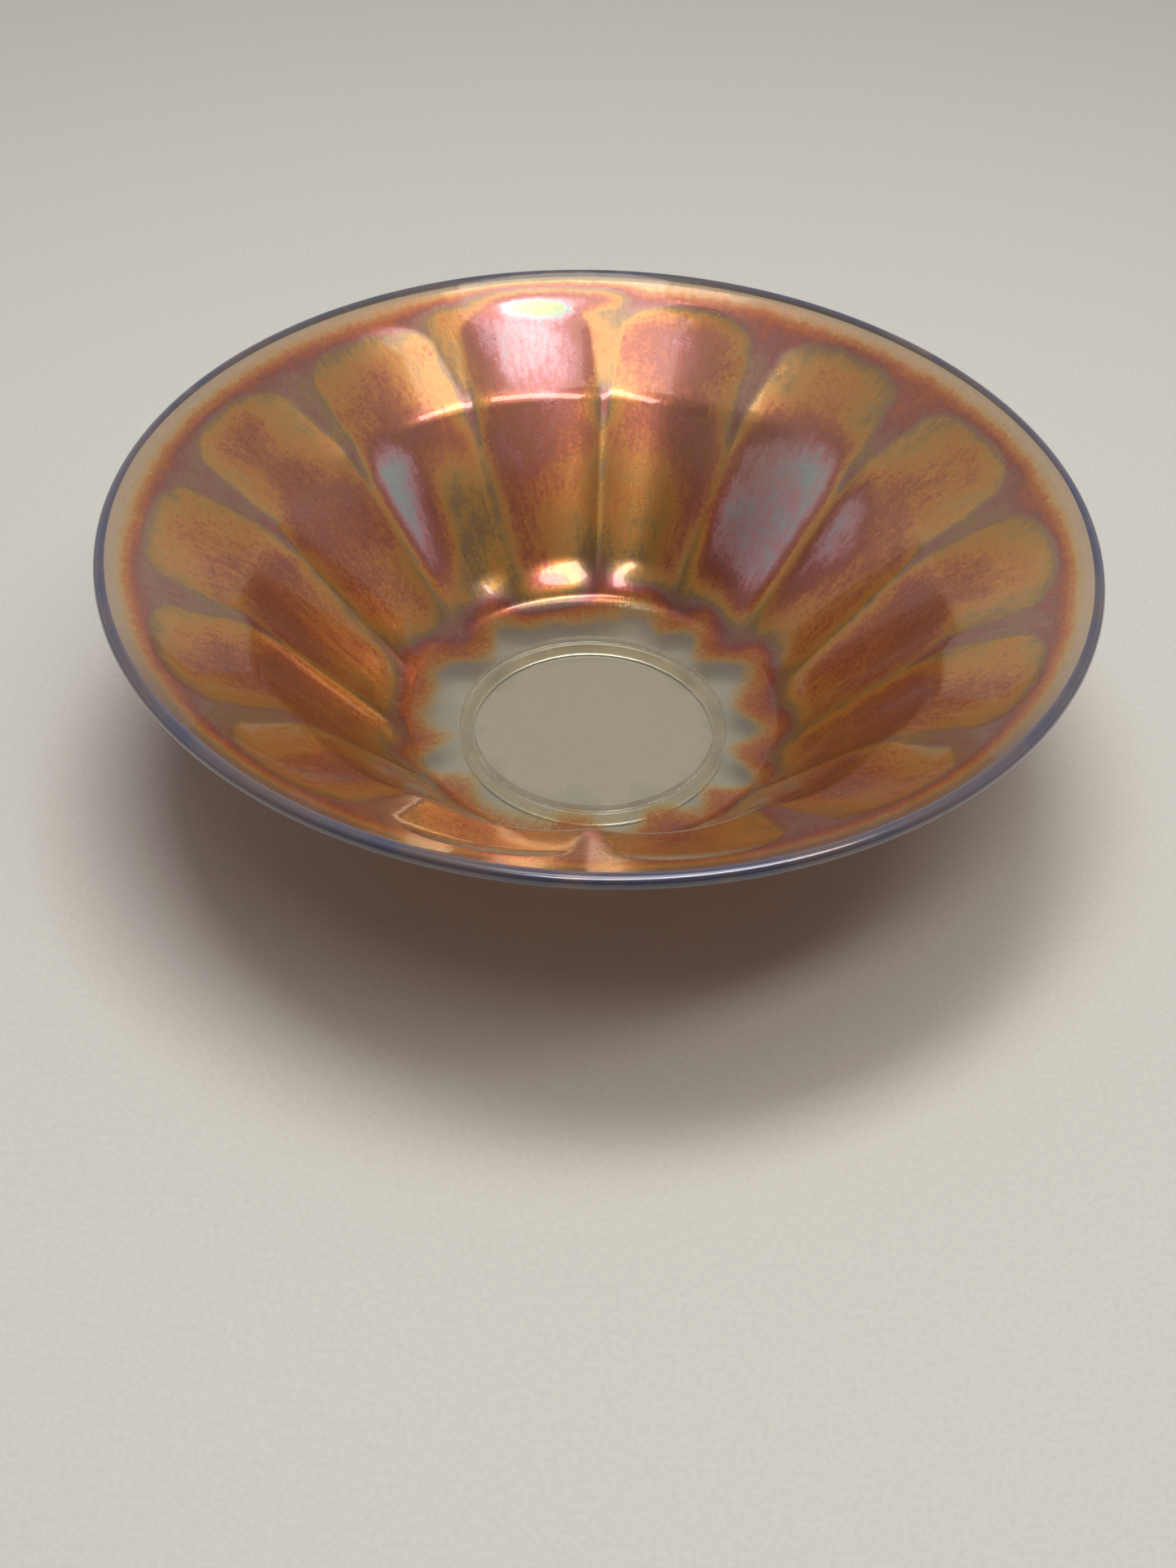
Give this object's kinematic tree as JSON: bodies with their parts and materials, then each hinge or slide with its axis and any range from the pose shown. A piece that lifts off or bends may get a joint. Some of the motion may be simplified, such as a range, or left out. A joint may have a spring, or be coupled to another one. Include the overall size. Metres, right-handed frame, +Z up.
{
  "type": "bowl",
  "caption": "Round pressed glass bowl with a panelled, lustred inside wall, a flared rim with a fire-polished lip, a clear base and a low collar foot.",
  "frame": {"origin": "centre of the resting face under the foot ring", "axes": "+Z up along the bowl's axis, +Y along a rib, towards the back; +X through the middle of a panel, to the right"},
  "size_m": [0.27, 0.27, 0.0815],
  "materials": {
    "clear_glass": "clear pressed glass, polished, no lustre",
    "marigold_lustre": "iridescent amber lustre over clear pressed glass",
    "pale_lustre": "thin grey-gold lustre over clear glass, dark glossy lip"
  },
  "bodies": {
    "root": {"foot_ring": "clear_glass", "base": "clear_glass", "panelled_wall": "marigold_lustre", "rim": "pale_lustre"}
  },
  "joints": []
}
